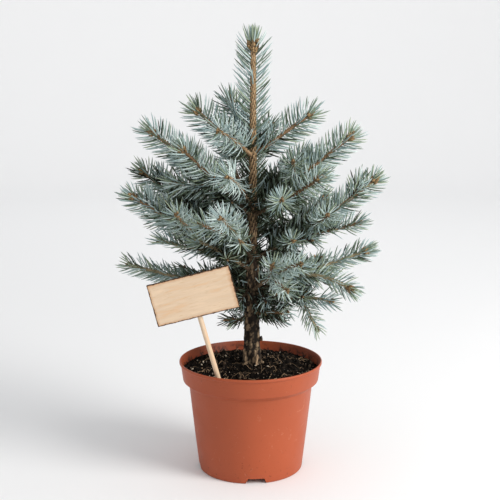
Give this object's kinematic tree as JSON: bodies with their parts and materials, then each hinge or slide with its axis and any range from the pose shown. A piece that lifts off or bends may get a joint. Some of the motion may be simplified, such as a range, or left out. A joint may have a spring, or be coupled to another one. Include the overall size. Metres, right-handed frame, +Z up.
{
  "type": "potted blue spruce",
  "caption": "Young blue-grey conifer with whorled boughs of stiff needles, in a round tapered nursery pot with compost and a blank wooden label on a stick.",
  "frame": {"origin": "on the ground, in the middle of the pot's underside", "axes": "+Z up along the trunk; -Y is the front, where the label faces; +X to the right"},
  "size_m": [0.3699, 0.3177, 0.5842],
  "materials": {
    "pot_plastic": "satin",
    "compost": "matte",
    "bark": "matte",
    "needles": "matte",
    "label_wood": "matte"
  },
  "bodies": {
    "root": {"bough_lower_back": "bark", "bough_lower_back_left": "bark", "bough_lower_back_right": "bark", "bough_lower_front_right": "bark", "bough_lower_left": "bark", "bough_lower_low_right": "bark", "bough_lower_right": "bark", "bough_lower_right_front": "bark", "bough_middle_back": "bark", "bough_middle_back_left": "bark", "bough_middle_back_right": "bark", "bough_middle_front_left": "bark", "bough_middle_left": "bark", "bough_middle_left_back": "bark", "bough_middle_low_left": "bark", "bough_middle_right": "bark", "bough_upper_back_left": "bark", "bough_upper_back_right": "bark", "bough_upper_front_left": "bark", "bough_upper_front_right": "bark", "bough_upper_left": "bark", "bough_upper_left_front": "bark", "bough_upper_right": "bark", "label_plate": "label_wood", "label_stick": "label_wood", "needles_leader": "needles", "needles_lower_back": "needles", "needles_lower_back_left": "needles", "needles_lower_back_right": "needles", "needles_lower_front_right": "needles", "needles_lower_left": "needles", "needles_lower_low_front": "needles", "needles_lower_low_left": "needles", "needles_lower_low_right": "needles", "needles_lower_right": "needles", "needles_lower_right_front": "needles", "needles_middle_back": "needles", "needles_middle_back_left": "needles", "needles_middle_back_right": "needles", "needles_middle_front_left": "needles", "needles_middle_left": "needles", "needles_middle_left_back": "needles", "needles_middle_low_left": "needles", "needles_middle_right": "needles", "needles_top_back": "needles", "needles_top_back_left": "needles", "needles_top_front_left": "needles", "needles_top_left": "needles", "needles_top_right": "needles", "needles_upper_back_left": "needles", "needles_upper_back_right": "needles", "needles_upper_front_left": "needles", "needles_upper_front_right": "needles", "needles_upper_left": "needles", "needles_upper_left_front": "needles", "needles_upper_right": "needles", "needles_upper_trunk": "needles", "pot": "pot_plastic", "soil": "compost", "trunk": "bark"}
  },
  "joints": []
}
